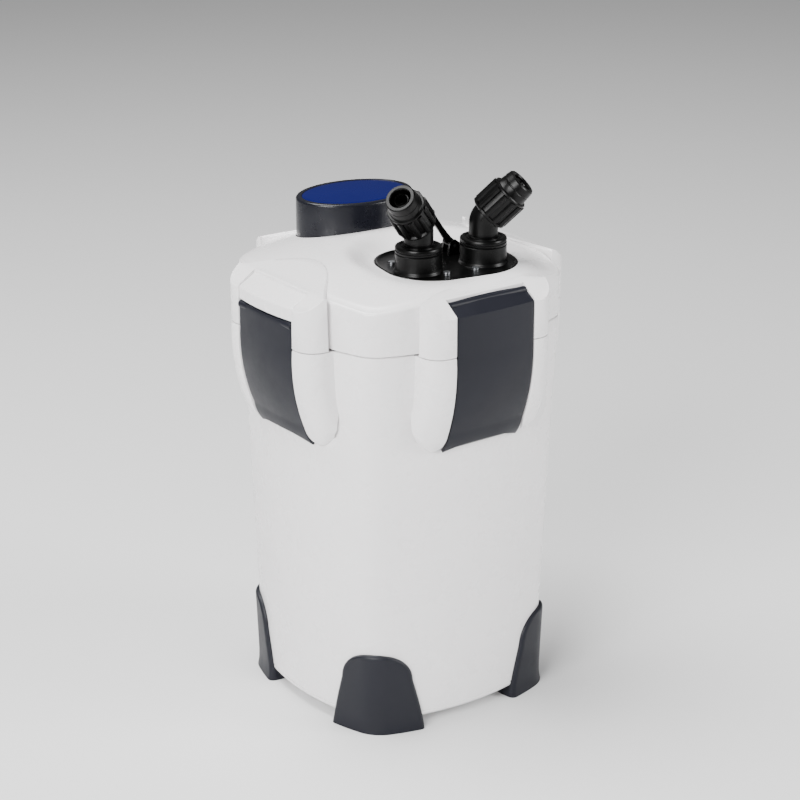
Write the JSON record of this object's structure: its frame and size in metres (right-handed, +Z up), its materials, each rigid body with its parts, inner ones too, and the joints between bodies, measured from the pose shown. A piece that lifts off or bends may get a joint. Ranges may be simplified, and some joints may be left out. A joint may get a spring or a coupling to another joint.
{
  "type": "canister filter",
  "caption": "Aquarium canister filter: latched bucket with media baskets, pump head, hand primer and swivelling hose taps.",
  "frame": {"origin": "centre of the footprint, on the floor under the feet", "axes": "+Z up; the front latch faces -Y and the left latch faces -X; taps are on the front half of the head"},
  "size_m": [0.2802, 0.2802, 0.4763],
  "materials": {
    "white_plastic": "glossy moulded",
    "grey_plastic": "satin moulded",
    "hook_plastic": "satin",
    "blue_inlay": "high gloss",
    "black_plastic": "semi gloss",
    "inner_black": "moulded",
    "seal_rubber": "matte",
    "steel": "plain",
    "core_iron": "laminated",
    "resin_coil": "enamelled winding",
    "magnet": "sintered",
    "ceramic": "fired ceramic",
    "basket_plastic": "moulded",
    "tube_plastic": "moulded",
    "sponge_blue": "open foam",
    "sponge_black": "open foam",
    "floss": "fibre"
  },
  "bodies": {
    "housing": {"basket_lid": "basket_plastic", "basket_lower": "basket_plastic", "basket_middle": "basket_plastic", "basket_upper": "basket_plastic", "bucket": "white_plastic", "ceramic_rings": "ceramic", "coarse_sponge": "sponge_blue", "coil": "resin_coil", "collar_ring_left": "black_plastic", "collar_ring_right": "black_plastic", "cord_gland": "black_plastic", "fine_sponge": "sponge_black", "floss_pad": "floss", "foot_back_left": "grey_plastic", "foot_back_right": "grey_plastic", "foot_front_left": "grey_plastic", "foot_front_right": "grey_plastic", "head_base": "inner_black", "head_screws": "steel", "head_shell": "white_plastic", "impeller_cover": "inner_black", "intake_tube": "tube_plastic", "latch_cover_left": "white_plastic", "latch_cover_right": "white_plastic", "latch_pins": "steel", "lever_pin": "steel", "lower_bush": "seal_rubber", "main_seal": "seal_rubber", "primer_spring": "steel", "primer_valve": "seal_rubber", "rotor_shaft": "ceramic", "stator_core": "core_iron", "tap_block": "black_plastic", "tap_screws": "steel", "tap_seals": "seal_rubber", "upper_bush": "seal_rubber"},
    "rotor": {"rotor_magnet": "magnet", "impeller": "inner_black"},
    "primer": {"primer_button": "grey_plastic", "primer_badge": "blue_inlay", "primer_piston": "inner_black", "primer_seal": "seal_rubber"},
    "lever": {"release_lever": "black_plastic"},
    "ball_left": {"valve_ball_left": "inner_black"},
    "ball_right": {"valve_ball_right": "inner_black"},
    "elbow_left": {"elbow_left": "black_plastic"},
    "elbow_right": {"elbow_right": "black_plastic"},
    "nut_left": {"hose_nut_left": "black_plastic"},
    "nut_right": {"hose_nut_right": "black_plastic"},
    "latch_front": {"latch_front": "grey_plastic", "latch_front_hook": "hook_plastic"},
    "latch_back": {"latch_back": "grey_plastic", "latch_back_hook": "hook_plastic"},
    "latch_left": {"latch_left": "grey_plastic", "latch_left_hook": "hook_plastic"},
    "latch_right": {"latch_right": "grey_plastic", "latch_right_hook": "hook_plastic"}
  },
  "joints": [
    {"name": "latch_right_hinge", "type": "hinge", "parent": "housing", "child": "latch_right", "pos_m": [0.1354, 0, 0.366], "axis": [0, -1, 0], "range_deg": [0, 60]},
    {"name": "latch_back_hinge", "type": "hinge", "parent": "housing", "child": "latch_back", "pos_m": [0, 0.1243, 0.3872], "axis": [1, 0, 0], "range_deg": [0, 75]},
    {"name": "latch_left_hinge", "type": "hinge", "parent": "housing", "child": "latch_left", "pos_m": [-0.1354, 0, 0.366], "axis": [0, 1, 0], "range_deg": [0, 60]},
    {"name": "latch_front_hinge", "type": "hinge", "parent": "housing", "child": "latch_front", "pos_m": [0, -0.1243, 0.3872], "axis": [-1, 0, 0], "range_deg": [0, 75]},
    {"name": "primer_press", "type": "slide", "parent": "housing", "child": "primer", "axis": [0, 0, -1], "range_m": [0, 0.012], "stiffness_N_per_m": 800, "springref_m": -0.01, "deforming": ["primer_spring"]},
    {"name": "rotor_spin", "type": "hinge", "parent": "housing", "child": "rotor", "pos_m": [0, 0.006, 0.37], "axis": [0, 0, 1], "continuous": true},
    {"name": "release_lever_hinge", "type": "hinge", "parent": "housing", "child": "lever", "pos_m": [0.03461, -0.02902, 0.405], "axis": [0.1736, 0.9848, 0], "range_deg": [0, 70]},
    {"name": "valve_left_turn", "type": "hinge", "parent": "housing", "child": "ball_left", "pos_m": [-0.01799, -0.05376, 0.394], "axis": [0.1736, 0.9848, 0], "range_deg": [0, 90]},
    {"name": "valve_right_turn", "type": "hinge", "parent": "housing", "child": "ball_right", "pos_m": [0.04209, -0.06435, 0.394], "axis": [0.1736, 0.9848, 0], "range_deg": [0, 90]},
    {"name": "elbow_left_swivel", "type": "hinge", "parent": "housing", "child": "elbow_left", "pos_m": [-0.01799, -0.05376, 0.42], "axis": [0, 0, 1], "range_deg": [-60, 40]},
    {"name": "hose_nut_left_turn", "type": "hinge", "parent": "elbow_left", "child": "nut_left", "pos_m": [-0.01799, -0.05376, 0.435], "axis": [-0.6419, -0.2966, 0.7071], "continuous": true},
    {"name": "elbow_right_swivel", "type": "hinge", "parent": "housing", "child": "elbow_right", "pos_m": [0.04209, -0.06435, 0.42], "axis": [0, 0, 1], "range_deg": [-40, 60]},
    {"name": "hose_nut_right_turn", "type": "hinge", "parent": "elbow_right", "child": "nut_right", "pos_m": [0.04209, -0.06435, 0.435], "axis": [0.5271, -0.4713, 0.7071], "continuous": true}
  ],
  "couplings": [
    {"joint": "valve_left_turn", "follows": "release_lever_hinge", "ratio": 1.28},
    {"joint": "valve_right_turn", "follows": "release_lever_hinge", "ratio": 1.28}
  ]
}
